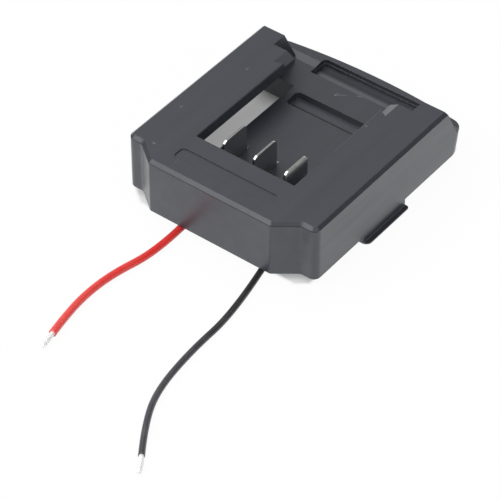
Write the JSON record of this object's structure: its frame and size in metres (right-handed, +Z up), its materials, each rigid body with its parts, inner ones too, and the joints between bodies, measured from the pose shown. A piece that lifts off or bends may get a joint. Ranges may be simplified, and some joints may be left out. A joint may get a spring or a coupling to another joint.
{
  "type": "tool battery adapter",
  "caption": "Moulded dock for a slide-on tool battery, with upright contact blades inside and a red and a black lead that carry the power out.",
  "frame": {"origin": "on the table under the middle of the dock, level with the lips of the two side tabs it stands on", "axes": "+Z up out of the battery channel, +Y towards the open mouth that the battery enters, -Y the front wall where the leads come out, +X across the dock to the side of the black lead"},
  "size_m": [0.0893, 0.1901, 0.0257],
  "materials": {
    "housing_plastic": "satin moulded",
    "retainer_plastic": "matt moulded",
    "blade_metal": "tin plated",
    "screw_steel": "zinc plated",
    "red_insulation": "satin",
    "black_insulation": "satin",
    "tinned_strands": "tinned copper",
    "solder": "bright"
  },
  "bodies": {
    "root": {"housing": "housing_plastic", "positive_blade": "blade_metal", "signal_blade": "blade_metal", "negative_blade": "blade_metal", "blade_retainer": "retainer_plastic", "retainer_screws": "screw_steel", "red_lead": "red_insulation", "red_lead_inner": "red_insulation", "red_tip": "tinned_strands", "red_core": "tinned_strands", "red_solder": "solder", "black_lead": "black_insulation", "black_lead_inner": "black_insulation", "black_tip": "tinned_strands", "black_core": "tinned_strands", "black_solder": "solder"}
  },
  "joints": []
}
